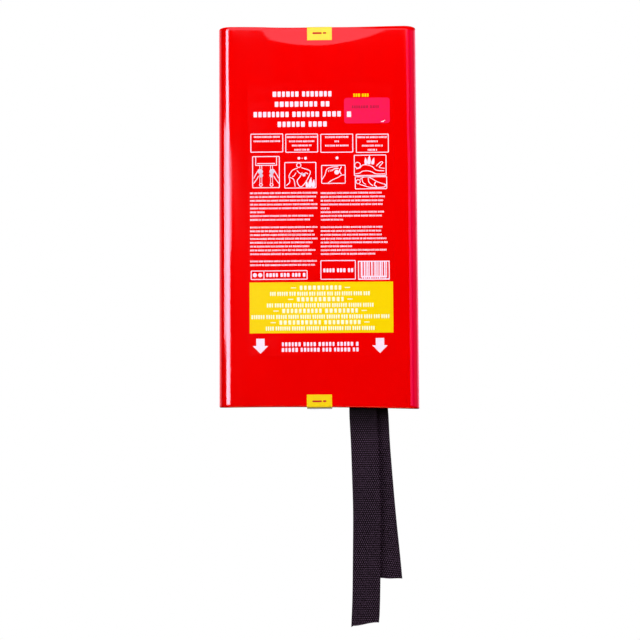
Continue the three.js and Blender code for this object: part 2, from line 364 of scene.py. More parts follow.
def gloss_red():
    """Polished red plastic, with a faint haze of handling and a moulded surface's slow ripple."""
    m = Material("case_red", linear(240, 0, 0), 0.07, specular_tint=(1, 0.62, 0.8, 1))
    m.cloud(m.noise(18, 3), 0.3, 0.7, (238, 0, 0), (244, 0, 0))
    smear = m.noise(1, 4, m.stretch(60, 60, 12))
    m.link(m.fit(smear, 0.35, 0.7, 0.05, 0.085), "Roughness")
    m.bump(m.noise(30, 1), 0.000006)
    return m.made


def satin_red():
    """The rear shell's plastic, with a fine spark-eroded grain."""
    m = Material("case_rear", linear(226, 2, 2), 0.3, specular_tint=(1, 0.7, 0.82, 1))
    m.cloud(m.noise(14, 3), 0.3, 0.7, (220, 1, 2), (232, 3, 3))
    m.link(m.fit(m.noise(40, 3), 0.3, 0.7, 0.24, 0.36), "Roughness")
    m.bump(m.noise(2400, 2), 0.00005)
    return m.made


def film_red():
    """The label's clear film: a little duller than the case, with faint trapped bubbles."""
    tint = (1, 0.62, 0.8, 1)
    m = Material("label_film", linear(240, 0, 0), 0.09, specular_tint=tint, specular_ior_level=0.4)
    m.cloud(m.noise(22, 3), 0.3, 0.7, (238, 0, 0), (243, 0, 0))
    m.link(m.fit(m.noise(90, 3), 0.35, 0.7, 0.07, 0.12), "Roughness")
    m.bump(m.noise(420, 2), 0.00001)
    return m.made


def printed(name, colour, other, roughness=0.3, grain=900, shine=0.15):
    """Ink or film of one colour, with the slight unevenness of printing."""
    m = Material(name, linear(*colour), roughness, specular_ior_level=shine)
    m.cloud(m.noise(grain, 3), 0.35, 0.65, colour, other)
    m.link(m.fit(m.noise(60, 2), 0.3, 0.7, roughness - 0.01, roughness + 0.02), "Roughness")
    m.bump(m.noise(1500, 1), 0.000008)
    return m.made


def weave_height(m, across, along, turn=0.0):
    """Bumps in rows, each row half a step aside from the next: 0 to 1, and how near a row's middle.
    The rows may be turned, in degrees."""
    split = m.node("ShaderNodeSeparateXYZ", {0: m.place})
    c, s = math.cos(math.radians(turn)), math.sin(math.radians(turn))
    waves = []
    for toward_x, toward_z, pitch in ((c, s, across), (-s, c, along)):
        x = m.math("MULTIPLY", split.outputs["X"], 2 * math.pi * toward_x / (pitch * MM))
        z = m.math("MULTIPLY", split.outputs["Z"], 2 * math.pi * toward_z / (pitch * MM))
        waves.append(m.math("COSINE", m.math("ADD", x, z)))
    return m.fit(m.math("MULTIPLY", *waves), -1, 1, 0, 1), m.math("MULTIPLY", waves[1], waves[1])


RIB_PITCH = 1.86  # of the webbing's weave, across the strap
PICK_PITCH = 3.92  # along it; every other row is half a step aside
SHADED_TO = (-354, -328)  # the webbing darkens from the first of these heights up to the second


def black_webbing(name, turn):
    """Black polyester webbing, faintly purple, with painted shade between its threads and a painted
    highlight on their tops.
    It is painted darker towards the mouth and inside it, in place of the long soft shadow that the lights
    don't give."""
    m = Material(name, linear(30, 20, 30), 0.8, specular_ior_level=0.02)
    threads, rows = weave_height(m, RIB_PITCH, PICK_PITCH, turn)
    tops = m.math("ADD", m.math("MULTIPLY", threads, 0.9), m.math("MULTIPLY", rows, 0.5))
    # painted shade between the threads and a painted highlight on their tops, from dark to pale with the
    # weave's height
    weave_shade_and_highlight = m.mix(m.fit(tops, 0.5, 1.3, 0, 1), linear(4, 1, 4), linear(80, 61, 81))
    patch = m.fit(m.noise(30, 3), 0.35, 0.7, 0, 0.2)
    faded = m.mix(patch, weave_shade_and_highlight, linear(26, 18, 27))
    covered = m.fit(m.height(), SHADED_TO[0] * MM, SHADED_TO[1] * MM, 0, 0.9)
    m.link(m.mix(covered, faded, linear(1, 0, 1)), "Base Color")
    m.link(m.fit(m.noise(700, 2), 0.3, 0.7, 0.7, 0.85), "Roughness")
    fibre = m.noise(1, 2, m.stretch(2400, 2400, 300))
    m.bump(m.math("ADD", threads, m.math("MULTIPLY", fibre, 0.5)), 0.00008)
    return m.made


def glass_cloth():
    """Off-white woven glass fibre."""
    m = Material("glass_cloth", linear(226, 222, 208), 0.62, sheen_weight=0.2, sheen_roughness=0.3)
    threads, _ = weave_height(m, 1.6, 1.6)
    cloth = m.mix(m.fit(m.noise(40, 4), 0.3, 0.7, 0, 1), linear(214, 209, 192), linear(233, 230, 219))
    # the hollows between the threads are painted darker, as painted shade
    m.link(m.mix(m.fit(threads, 0.1, 0.6, 0.35, 0), cloth, linear(190, 184, 165)), "Base Color")
    m.bump(m.math("ADD", threads, m.noise(900, 2)), 0.0001)
    return m.made


def sewing_thread():
    m = Material("thread", linear(224, 219, 204), 0.6, sheen_weight=0.3)
    m.cloud(m.noise(300, 2), 0.3, 0.7, (206, 200, 184), (234, 230, 217))
    m.bump(m.noise(1, 1, m.stretch(3000, 3000, 1200)), 0.00005)
    return m.made


CASE_RED = gloss_red()
CASE_REAR = satin_red()
LABEL_RED = film_red()
PRINT_WHITE = printed("print_white", (255, 232, 250), (250, 224, 244))
PRINT_CREAM = printed("print_cream", (255, 252, 222), (252, 246, 200))
PRINT_YELLOW = printed("print_yellow", (251, 214, 0), (250, 211, 0), 0.25, shine=0.05)
LOT_PINK = printed("lot_pink", (252, 16, 84), (247, 20, 78), 0.22, 300)
LOT_INK = printed("lot_ink", (196, 0, 62), (182, 0, 56), 0.3)
SEAL_YELLOW = printed("seal_yellow", (255, 219, 0), (252, 214, 2), 0.16, 260, 0.6)
SEAL_INK = printed("seal_ink", (205, 34, 8), (190, 26, 6), 0.3)
WEBBING_LONG = black_webbing("webbing", 0)
WEBBING_SHORT = black_webbing("webbing_aslant", -6)
GLASS_CLOTH = glass_cloth()
THREAD = sewing_thread()

# ---- the case

cover_low, cover_high = box_mm("front_cover")
HALF = cover_high[0]
TOP = cover_high[2]
BOTTOM = cover_low[2]
FRONT = cover_low[1]
PAD_PROUD = 0.6
BACK = box_mm("rear_shell")[1][1] - PAD_PROUD
SIDE_RADIUS = 11
END_RADIUS = 1.5
INNER_RADIUS = 0.6  # of the same edges on the inside of the walls
WALL = 2.4
LIP = 3.4  # from the outside to the edge of the mouth
PART_Y = -17
SEAM = 0.4
TONGUE_REACH = 4
TONGUE_DEPTH = 1.4  # from the outside to the tongue
LAP_DEPTH = 1.1  # from the outside to the recess that the tongue lies in
LAP_GAP = 0.3
EDGE = 0.3  # the small round of each parting edge
FRONT_COLUMNS = 60
ARC_STEPS = 12

# Near its top edge the front wall leans back a little, where the seal pulls it.
LEAN = 0.05  # its slope
LEAN_FOLD = 0.5  # how softly it starts
LEAN_MIDDLE = -2  # the x where it starts lowest
LEAN_LOWEST = 6.3
LEAN_RISE = 0.0036  # it starts higher to the sides
LEAN_LEFT = -41.4  # and, left of this x, along a steep line
LEAN_LEFT_START = 10.8  # that begins here
LEAN_LEFT_SLOPE = 1.6
LEAN_ENDS = (-34, -20)  # it is whole in front of the first of these depths, and fades out to the second
SHOULDER = 0.6  # along the top edge it leans back more steeply, in a band that widens to the right
SHOULDER_LEAST = 0.5
SHOULDER_GROWTH = 3.2
MOUTH_DROP = -0.35  # the mouth's edge is a little out of square: its drop at the middle,
MOUTH_SLANT = 0.0125  # what that gains for each millimetre to the right,
MOUTH_BOW = 0.00013  # and for each square millimetre off the middle
MOUTH_REACH = 40  # how far up the walls this fades out
TOP_DIP = 0.9  # of the top edge's middle, under the seal


def lean(x, z):
    """How far back the front wall leans at a place."""
    start = LEAN_LOWEST + LEAN_RISE * (x - LEAN_MIDDLE) ** 2
    start = max(start, LEAN_LEFT_START + LEAN_LEFT_SLOPE * (LEAN_LEFT - x))
    t = (z - start) / LEAN_FOLD
    rise = t if t > 30 else math.log1p(math.exp(t))
    shoulder = max(0, z - TOP + SHOULDER_LEAST + SHOULDER_GROWTH * ease(x, 10, 90))
    return LEAN * LEAN_FOLD * rise + SHOULDER * shoulder


def mouth_drop(x, z):
    """How far the walls hang below their even line near the mouth, which is a little out of square."""
    return (MOUTH_DROP + MOUTH_SLANT * x + MOUTH_BOW * x * x) * ease(z, BOTTOM + MOUTH_REACH, BOTTOM)


def top_dip(x, z):
    """How far the top edge is pulled down in its middle."""
    return TOP_DIP * ease(abs(x - 2), 82, 22) * ease(z, TOP - 14, TOP)


def front_y(x, z):
    """The front face's own depth at a place."""
    return FRONT + lean(x, z)


def stations():
    """Up the case's side: each gives (inset, z) of the outer surface and of the inner one."""
    made = [(LIP, BOTTOM, LIP, BOTTOM)]
    for k in range(7):
        a = math.radians(15 * k)
        out = END_RADIUS * (1 - math.sin(a)), BOTTOM + END_RADIUS * (1 - math.cos(a))
        made.append((*out, LIP, BOTTOM + 0.3 + 0.8 * k))
    made.append((0, BOTTOM + 3.6, LIP, BOTTOM + 10))
    made.append((0, BOTTOM + 10.6, WALL, BOTTOM + 10.6))
    plain = np.linspace(BOTTOM + 16, 0, 46)
    fine = np.linspace(0.8, TOP - WALL - 2 * INNER_RADIUS, 27)
    for z in [*plain, *fine]:
        made.append((0, float(z), WALL, float(z)))
    for k in range(7):
        a = math.radians(15 * k)
        c, s = 1 - math.cos(a), 1 - math.sin(a)
        inner = WALL + INNER_RADIUS * c, TOP - WALL - INNER_RADIUS * s
        made.append((END_RADIUS * c, TOP - END_RADIUS * s, *inner))
    return made


STATIONS = stations()


def at_depth(station, depth):
    """A station's inset and z at a depth into the wall."""
    t = depth / WALL
    return station[0] + (station[2] - station[0]) * t, station[1] + (station[3] - station[1]) * t


def outline(inset, face, way, edge):
    """Half of the case's outline: from its right parting edge round the face to its left one, as (x, y).
    way is 1 where the face is the front, and -1 where it is the back."""
    x = HALF - inset
    y = face + way * inset
    r = SIDE_RADIUS - inset
    middle = y + way * r
    right = [(x, edge + (middle - edge) * t) for t in (0, 0.06, 0.3, 0.65, 0.94)]
    for k in range(ARC_STEPS + 1):
        a = math.pi / 2 * k / ARC_STEPS
        right.append((x - r + r * math.cos(a), middle - way * r * math.sin(a)))
    flat = []
    for k in range(1, FRONT_COLUMNS):
        t = 2 * k / FRONT_COLUMNS - 1
        t = math.copysign(1 - (1 - abs(t)) ** 1.15, t)
        flat.append((-(x - r) * t, y))
    left = [(-px, py) for px, py in reversed(right)]
    return right + flat + left


SIDE_POINTS = 5 + ARC_STEPS  # along the outline before its flat face starts


def shell_surface(shape, depth, face, way, edge_at, settle):
    """One surface of a shell: its sides and face, and its top. Gives the loop where the surface ends at the
    parting plane, from the bottom right corner over the top to the bottom left one."""
    rows = []
    for station in STATIONS:
        inset, z = at_depth(station, depth)
        rows.append([settle(x, y, z) for x, y in outline(inset, face, way, edge_at(station))])
    last = rows[-1]
    width = len(last)
    first, final = SIDE_POINTS - 1, width - SIDE_POINTS
    base = last[first : final + 1]
    shares = [(p[0] - base[0][0]) / (base[-1][0] - base[0][0]) for p in base]
    top = [base]
    for k in range(1, SIDE_POINTS):
        a, b = Vector(last[first - k]), Vector(last[final + k])
        across = [a.lerp(b, t) for t in shares]
        top.append([(p.x, p.y, p.z - top_dip(p.x, p.z)) for p in across])
    shape.grid(rows)
    shape.grid(top)
    return [row[0] for row in rows] + top[-1][1:-1] + [row[-1] for row in reversed(rows)]


def parting_loop(depth, y_at, settle, columns):
    """The loop round the parting plane at a depth into the wall."""
    made = []
    for station in STATIONS:
        inset, z = at_depth(station, depth)
        made.append(settle(HALF - inset, y_at(station), z))
    inset, z = at_depth(STATIONS[-1], depth)
    made += [settle(x * (HALF - inset), y_at(STATIONS[-1]), z) for x in columns]
    for station in reversed(STATIONS):
        inset, z = at_depth(station, depth)
        made.append(settle(inset - HALF, y_at(station), z))
    return made


def shell(name, face, way, settle, rim, inner_edge, materials):
    """A closed shell: an outer surface, an inner one and the rim between them, which goes through the
    (depth, y) steps."""
    shape = Shape()
    outer_edge = rim[0][1]
    outer = shell_surface(shape, 0, face, way, outer_edge, settle)
    inner = shell_surface(shape, WALL, face, way, inner_edge, settle)
    count = len(STATIONS)
    columns = [p[0] / outer[count - 1][0] for p in outer[count:-count]]
    loops = [outer]
    for depth, y_at in rim[1:]:
        loops.append(parting_loop(depth, y_at, settle, columns))
    loops.append(inner)
    shape.grid(loops)
    return shape.build(name, materials, merge=0.002)


def at(y):
    """One depth at every station."""
    return lambda station: y


def front_cover():
    edge = PART_Y - SEAM / 2
    deep = edge - TONGUE_REACH - LAP_GAP + SEAM / 2

    def settle(x, y, z):
        share = min(max((LEAN_ENDS[1] - y) / (LEAN_ENDS[1] - LEAN_ENDS[0]), 0), 1)
        return x, y + lean(x, z) * share, z - mouth_drop(x, z) - top_dip(x, z)

    rim = [(0, at(edge - EDGE)), (EDGE * 0.3, at(edge - EDGE * 0.3)), (EDGE, at(edge))]
    rim += [(LAP_DEPTH, at(edge)), (LAP_DEPTH, at(deep))]
    cover = shell("case_front", FRONT, 1, settle, rim, at(deep), [CASE_RED])
    return declare(cover, "case", "front_cover", "case_red")


def rear_shell():
    edge = PART_Y + SEAM / 2
    tip = PART_Y - TONGUE_REACH

    def tongue(y):
        """The tongue stops above the mouth."""
        return lambda station: edge if station[1] < BOTTOM + END_RADIUS + 1 else y

    def settle(x, y, z):
        return x, y, z - mouth_drop(x, z) - top_dip(x, z)

    rim = [(0, at(edge + EDGE)), (EDGE * 0.3, at(edge + EDGE * 0.3)), (EDGE, at(edge))]
    rim += [(TONGUE_DEPTH, at(edge)), (TONGUE_DEPTH, tongue(tip + EDGE))]
    rim += [(TONGUE_DEPTH + EDGE, tongue(tip))]
    made = shell("case_rear", BACK, -1, settle, rim, tongue(tip), [CASE_REAR])
    return declare(made, "case", "rear_shell", "case_rear")


# ---- the rear shell's mount and its ribs

PAD_HALF_WIDTH = 68
PAD_RADIUS = 5
PAD_HEIGHTS = ((-22, 9), (-300, -284))
KEYHOLE_X = 50
HEAD_RADIUS = 4.5
SHANK_RADIUS = 2.5
KEYHOLE_DROP = 9
RIB_WIDTH = 1.4
RIB_DEPTH = 1.3
REAR_RIB_XS = (-66, -22, 22, 66)
REAR_RIB_HEIGHTS = (-300, -24)
FRONT_RIB_XS = (-66, -22, 14)
FRONT_RIB_HEIGHTS = (-296, 4)
SHELF_HEIGHTS = (-15.8, -14.2)
SHELF_HALF_WIDTH = 62
SHELF_REACH = 11
ROOT = 1  # how far a joined feature runs into the wall it stands on


def seen_from_front(u, v, depth):
    """A flat outline in the case's front view, at this y."""
    return u, depth, v


def keyhole(x):
    """A wide end for the screw's head, and a slot above it for the shank."""
    meeting = math.asin(SHANK_RADIUS / HEAD_RADIUS)
    outline = []
    for k in range(9):
        a = math.pi * k / 8
        outline.append((x + SHANK_RADIUS * math.cos(a), SHANK_RADIUS * math.sin(a)))
    for k in range(25):
        a = math.pi / 2 + meeting + (2 * math.pi - 2 * meeting) * k / 24
        outline.append((x + HEAD_RADIUS * math.cos(a), HEAD_RADIUS * math.sin(a) - KEYHOLE_DROP))
    return outline


def rib(x, heights):
    half = RIB_WIDTH / 2
    return round_rectangle(x - half, heights[0], x + half, heights[1], 0.3)


def back_features(shell):
    added = Shape()
    for low, high in PAD_HEIGHTS:
        pad = round_rectangle(-PAD_HALF_WIDTH, low, PAD_HALF_WIDTH, high, PAD_RADIUS, 6)
        added.prism(pad, BACK - ROOT, BACK + PAD_PROUD, seen_from_front, bevel=0.2)
    inner = BACK - WALL
    for x in REAR_RIB_XS:
        added.prism(rib(x, REAR_RIB_HEIGHTS), inner - RIB_DEPTH, inner + ROOT, seen_from_front)
    shelf = round_rectangle(-SHELF_HALF_WIDTH, SHELF_HEIGHTS[0], SHELF_HALF_WIDTH, SHELF_HEIGHTS[1], 0.3)
    added.prism(shelf, inner - SHELF_REACH, inner + ROOT, seen_from_front)
    combine(shell, added.build("added", [CASE_REAR]), "UNION")
    holes = Shape()
    for x in (-KEYHOLE_X, KEYHOLE_X):
        holes.prism(keyhole(x), BACK - 3 * WALL, BACK + 3 * WALL, seen_from_front)
    combine(shell, holes.build("holes", [CASE_REAR]), "DIFFERENCE")
    shade(shell)


def front_features(cover):
    ribs = Shape()
    inner = FRONT + WALL
    for x in FRONT_RIB_XS:
        ribs.prism(rib(x, FRONT_RIB_HEIGHTS), inner - ROOT, inner + RIB_DEPTH, seen_from_front)
    combine(cover, ribs.build("ribs", [CASE_RED]), "UNION")
    shade(cover)


front_features(front_cover())
back_features(rear_shell())

# ---- the instruction label

FILM_GAP = 0.03
FILM = 0.14
INK = 0.03
FILM_FACE = FRONT - FILM_GAP - FILM
LOT_FACE = FILM_FACE - FILM_GAP - FILM
STUCK_SCALE = 0.9968  # the label and what is on it are a little narrower than in the CAD
STUCK_ASIDE = 0.95  # and sit this far to the left
LABEL_RADIUS = 3


def stuck_on(face):
    """Gives the place that is this far in front of a face of the label or its sticker."""
    return lambda u, v, depth: (STUCK_SCALE * u - STUCK_ASIDE, face - depth, v)


on_film = stuck_on(FILM_FACE)
on_ink = stuck_on(FILM_FACE - INK)
on_lot = stuck_on(LOT_FACE)


def corner_box(x0, z0, x1, z1):
    return [(x0, z0), (x1, z0), (x1, z1), (x0, z1)]


def stroke(ink, points, width, closed=False):
    """A printed line along a path."""
    path = [Vector(p) for p in points]
    n = len(path)
    rings = []
    for i, p in enumerate(path):
        before = path[i - 1] if closed or i else p
        after = path[(i + 1) % n] if closed or i < n - 1 else p
        way_in = (p - before).normalized() if before != p else (after - p).normalized()
        way_out = (after - p).normalized() if after != p else way_in
        side = Vector((-way_in.y - way_out.y, way_in.x + way_out.x))
        side *= width / max(side.length_squared, 1.2)
        left, right = p + side, p - side
        rings.append([on_film(*left, 0), on_film(*right, 0), on_film(*right, INK), on_film(*left, INK)])
    ink.sweep(rings, closed)


def frame_line(ink, x0, z0, x1, z1, width=0.75, radius=0.6):
    half = width / 2
    ring = round_rectangle(x0 + half, z0 + half, x1 - half, z1 - half, radius, 3)
    stroke(ink, ring, width, closed=True)


def disc(ink, x, z, radius):
    ink.prism(circle(x, z, radius), 0, INK, on_film)


def blocks(ink, x0, x1, z, height, width, gap, words=(3, 8), place=on_film, spread=0.15):
    """A row of plain blocks in groups, in place of a line of writing."""
    starts = []
    at = 0.0
    while at < x1 - x0:
        for _ in range(rng.randint(*words)):
            w = width * rng.uniform(1 - spread, 1 + spread)
            starts.append((at, at + w))
            at += w + gap
        at += width * 0.7
    while len(starts) > 1 and starts[-1][1] > (x1 - x0) * 1.04:
        starts.pop()
    scale = (x1 - x0) / starts[-1][1]
    for a, b in starts:
        sides = x0 + a * scale, z, x0 + b * scale, z + height
        box = round_rectangle(*sides, 0.5, 2) if width > 2 else corner_box(*sides)
        ink.prism(box, 0, INK, place)


def flame(ink, x, z, width, height, bend):
    """A tongue of flame on a round foot, its tip bent to one side."""
    left, right = [], []
    for k in range(9):
        t = k / 8
        half = width / 2 * math.sin(math.pi * (0.22 + 0.78 * t)) * (1 - 0.35 * t)
        middle = x + bend * t * t
        left.append((middle - half, z + height * t))
        right.append((middle + half, z + height * t))
    ink.prism(right + left[-2::-1], 0, INK, on_film)


PEN = 0.7  # the line width of the pictures


def lines(ink, x, z, *paths, width=PEN):
    """Smooth pen lines, each given by points measured from a picture's lower left corner."""
    for path in paths:
        stroke(ink, smooth_line([(x + u, z + v) for u, v in path], 4), width)


def ring(ink, x, z, radius):
    stroke(ink, circle(x, z, radius), PEN, closed=True)


def picture_pull(ink, x, z):
    """Two hands take hold of two straps under a case."""
    for rail in (((3.2, 29), (3.2, 21), (22.3, 21), (22.3, 29)), ((4.6, 22.6), (20.9, 22.6))):
        stroke(ink, [(x + u, z + v) for u, v in rail], PEN)
    for way in (-1, 1):
        middle = x + 12.75
        strap = middle + way * 4.9
        for side in (-0.9, 0.9):
            stroke(ink, [(strap + side, z + 20.6), (strap + side, z + 4.6)], 0.5)
        ring(ink, strap, z + 3, 1.3)
        for arm in (((11.4, 9), (9, 13.5), (6.6, 17.4)), ((11.6, 4.2), (8.8, 8), (7, 11))):
            lines(ink, middle, z, [(way * u, v) for u, v in arm])
        disc(ink, strap + way * 0.4, z + 15.2, 2.3)
        disc(ink, strap - way * 0.2, z + 11.6, 1.8)


def picture_cover(ink, x, z):
    """Someone stoops and lays a blanket over a fire."""
    ring(ink, x + 13.2, z + 21.3, 2)
    body = ((12, 18.6), (7.6, 16.8), (4.6, 12.6), (4.2, 9.6))
    rear_leg = ((4.6, 9.4), (4.8, 5.6), (1.8, 2.6))
    front_leg = ((5, 10.2), (8.6, 8.2), (9.8, 1.6))
    arm = ((11.6, 16.4), (14, 14), (17.4, 12.6))
    belly = ((10.6, 14.4), (9, 11.8), (7.4, 10.8))
    lines(ink, x, z, body, rear_leg, front_leg, arm, belly)
    blanket = [(15.6, 19), (23.4, 16), (22.4, 11), (18.6, 4.4), (14.6, 1.4)]
    blanket += [(11.6, 6.6), (14.4, 10.8), (16.4, 14.6)]
    lines(ink, x, z, blanket, ((17.6, 12.8), (19.6, 14.2), (21.6, 13.2)))
    disc(ink, x + 17.8, z + 12.4, 1.5)
    for u, size, height, bend in ((20.8, 3, 6, -0.8), (23.4, 3.6, 9.6, 1.2), (26.4, 3.4, 7.4, 0.8)):
        flame(ink, x + u, z + 1, size, height, bend)


def picture_leave(ink, x, z):
    """A hand lets the blanket lie."""
    lines(ink, x, z, ((0.8, 4), (3.6, 8.6), (5.2, 13.4), (10, 15.4), (15.6, 15.6)))
    lines(ink, x, z, ((6.2, 0.8), (10.4, 3.6), (15.4, 5.8), (18.6, 7.8), (21.6, 8)))
    knuckles = ((9.6, 12), (12.4, 13.8), (15.8, 14))
    lines(ink, x, z, knuckles, ((18.4, 8.6), (16.8, 12), (18.6, 15.6)), width=0.9)
    disc(ink, x + 14.2, z + 10.6, 2.2)
    for u, v in ((6.4, 12.6), (8, 13), (9.4, 13.2)):
        stroke(ink, [(x + u, z + v), (x + u + 0.5, z + v - 1.7)], 0.6)


def picture_burn(ink, x, z):
    """Someone lies down, with flames above."""
    ring(ink, x + 3.4, z + 10, 2.6)
    lines(ink, x, z, ((2, 6.6), (5.4, 7.4), (8, 10), (12.6, 10), (17, 8.4), (20.6, 5.2), (27.6, 4.6)))
    lines(ink, x, z, ((1.2, 2), (5.2, 2.6), (8, 4.4), (13.4, 4.6), (17, 3.4), (20.4, 1.8), (28.4, 1.8)))
    lines(ink, x, z, ((20.4, 9), (24.6, 12.8), (26.4, 12), (23.2, 8), (28, 6.8)))
    for u, size, height, bend in ((11, 3, 6.6, -0.4), (13.8, 3.6, 8.6, 0.6), (17.2, 3.2, 6.4, 1.4)):
        flame(ink, x + u, z + 10.6, size, height, bend)


def picture_wrap(ink, x, z):
    """The same person rolled up in the blanket."""
    ring(ink, x + 3, z + 7, 1.9)
    lines(ink, x, z, ((4.6, 9), (8.6, 11.2), (13.4, 10.8), (17.6, 8.4), (21.4, 6.4), (26.8, 4.6)))
    lines(ink, x, z, ((4.2, 4.6), (8.6, 3.2), (13.2, 1.8), (18.4, 1.4), (26.6, 1.8)))
    lines(ink, x, z, ((6.6, 9.6), (7.4, 6.4), (10, 4.4)), ((12.2, 10.4), (13, 6.2), (16.6, 3)))
    lines(ink, x, z, ((19, 6.8), (17.8, 4), (20, 2.2)), ((26.6, 4.8), (28.4, 3.4), (26.4, 1.8)), width=0.9)


def heading(ink):
    """Four lines of a heading: each has its middle, its width and its lower edge."""
    for x, width, z in ((-13.1, 54, -42), (-13.1, 50, -51.3), (-17.6, 80, -60.7), (-13.1, 45, -69.9)):
        blocks(ink, x - width / 2, x + width / 2, z, 4.9, 3.1, 1.25, (4, 9))


def text_boxes(ink):
    """The four boxes in a row, each with a few centred lines of small print."""
    widths = ((23.5, 24.1), (27.4, 22.9, 17.7, 13.4), (21.1, 3.9, 21.1), (27, 9.8, 18.9, 8.3))
    for i, (x, row) in enumerate(zip((-60.6, -28.6, 3.5, 36), widths)):
        top = -75.9 - 0.35 * i
        frame_line(ink, x, top - 17.4, x + 30, top)
        x += 15
        for j, width in enumerate(row):
            z = top - 3.9 * (j + 1)
            blocks(ink, x - width / 2, x + width / 2, z, 1.6, 0.72, 0.42, (3, 8), spread=0.3)


def pictures(ink):
    for draw, frame_of_it in (
        (picture_pull, (-59, -126.1, -33.8, -96.7)),
        (picture_cover, (-29.6, -126.6, -0.4, -102.4)),
        (picture_leave, (4.1, -122.6, 26.4, -105.3)),
        (picture_burn, (34, -115.7, 63.8, -96.2)),
        (picture_wrap, (34.8, -127.9, 64.2, -116.1)),
    ):
        frame_line(ink, *frame_of_it)
        draw(ink, *frame_of_it[:2])
    for x in (-16.2, -10.2, 18.6):
        disc(ink, x, -98.9, 1.3)
    disc(ink, -13.2, -98.9, 0.5)


def paragraphs(ink):
    """Lines of small print, each ending at its own share of the paragraph's width."""
    rows = (
        (-61, 0.9, -129.4, (0.99, 0.97, 0.93, 0.99, 0.99, 0.21, 0.93, 0.88)),
        (3.6, 65.3, -129.8, (0.9, 0.945, 0.92, 0.91, 0.125, 0.93, 0.9, 0.325)),
        (-61, 0.8, -160.8, (0.99, 0.93, 0.95, 0.99, 0.915, 0.87, 0.96, 0.9)),
        (3.4, 65, -161.1, (0.91, 0.89, 0.9, 0.967, 0.985, 0.46, 0.967, 0.8)),
        (-61, 0.8, -191.8, (0.98, 0.95)),
    )
    for x0, x1, top, ends in rows:
        for i, share in enumerate(ends):
            z = top - 2.1 - i * 3.5
            blocks(ink, x0, x0 + (x1 - x0) * share, z, 1.55, 0.7, 0.38, (2, 9), spread=0.3)


def label_foot(ink):
    """The boxes above the panel, and the arrows and lines below it."""
    frame_line(ink, -60.6, -210, -8.9, -201.5)
    stroke(ink, [(-48.6, -209.6), (-48.6, -201.9)], 0.7)
    disc(ink, -56.9, -205.7, 1.9)
    disc(ink, -52, -205.7, 1.9)
    blocks(ink, -46.6, -10.9, -207.4, 3.4, 2.05, 0.75, (3, 5))
    frame_line(ink, 2.9, -210.3, 35, -192.6)
    blocks(ink, 5.4, 32.6, -203.6, 3.6, 2.05, 0.75, (3, 4))
    ink.prism(corner_box(37, -210.6, 65.8, -193.4), 0, INK, on_film)
    arrow = ((-3.8, 0), (-3.8, -6.6), (-6.9, -6.6), (0, -13.6), (6.9, -6.6), (3.8, -6.6), (3.8, 0))
    for x in (-52, 56.4):
        ink.prism([(x + u, v - 263.5) for u, v in arrow], 0, INK, on_film)
    for x0, x1, z in ((-32.5, 36.9, -270.45), (-32.6, 37, -275.55)):
        blocks(ink, x0, x1, z, 3.6, 2.05, 1.1, (3, 6))


def bars(ink):
    """The bars in the white box, in the film's own red, and a row of small marks below them."""
    for x in (38, 63.4):
        ink.prism(corner_box(x, -209.4, x + 1.5, -194.2), 0, INK, on_ink)
    x = 41.2
    while x < 62.4:
        width = rng.choice((0.4, 0.5, 1.1))
        ink.prism(corner_box(x, -207, x + width, -194.3), 0, INK, on_ink)
        x += width + rng.choice((0.8, 1.0, 1.3))
    blocks(ink, 39.6, 63.6, -209.6, 1.2, 1.0, 0.8, (3, 5), on_ink, spread=0.3)


PANEL = (-61.7, -258.6, 68.7, -212.4)
PANEL_LINES = [(-24, 29.6), (-43, 47.4), (-26.6, 31.8), (-46, 50.8)]
PANEL_LINES += [(-40, 44.6), (-60, 65), (-42.6, 47), (-47, 51.6)]


def panel(ink, print_ink):
    """The yellow panel, with plain lines on it: a spaced one between two dashes, then a close one."""
    ink.prism(corner_box(*PANEL), 0, INK, on_film)
    for i, (x0, x1) in enumerate(PANEL_LINES):
        z = -219.4 - 5.24 * i
        if i % 2:
            blocks(print_ink, x0, x1, z, 3.5, 1.3, 0.8, (3, 7), on_ink)
            continue
        blocks(print_ink, x0 + 8, x1 - 8, z, 3.8, 2.4, 1.5, (9, 12), on_ink)
        for x in (x0, x1 - 4.6):
            print_ink.prism(corner_box(x, z + 1.5, x + 4.6, z + 2.3), 0, INK, on_ink)


def instruction_label():
    """The film, and everything printed on it."""
    low, high = box_mm("instruction_label")
    label = Shape()
    outline = round_rectangle(low[0], low[2], high[0], high[2], LABEL_RADIUS, 6)
    label.prism(outline, -FILM, 0, on_film, bevel=0.05)
    label.mark = 1
    for part in (heading, text_boxes, pictures, paragraphs, label_foot):
        part(label)
    label.mark = 2
    bars(label)
    label.mark = 3
    yellow = Shape()
    panel(yellow, label)
    inks = [LABEL_RED, PRINT_WHITE, LABEL_RED, PRINT_CREAM]
    add_piece(label, "label", inks, "case", "instruction_label", "label_film")
    add_piece(yellow, "label_panel", [PRINT_YELLOW], "case", None, "seal_yellow")
    batch = Shape()
    blocks(batch, 34, 48, -42.6, 3, 1.5, 0.5, (3, 4))
    add_piece(batch, "label_batch_line", [PRINT_YELLOW], "case", None, "seal_yellow")


instruction_label()

# ---- the lot sticker

LOT_RADIUS = 2.6


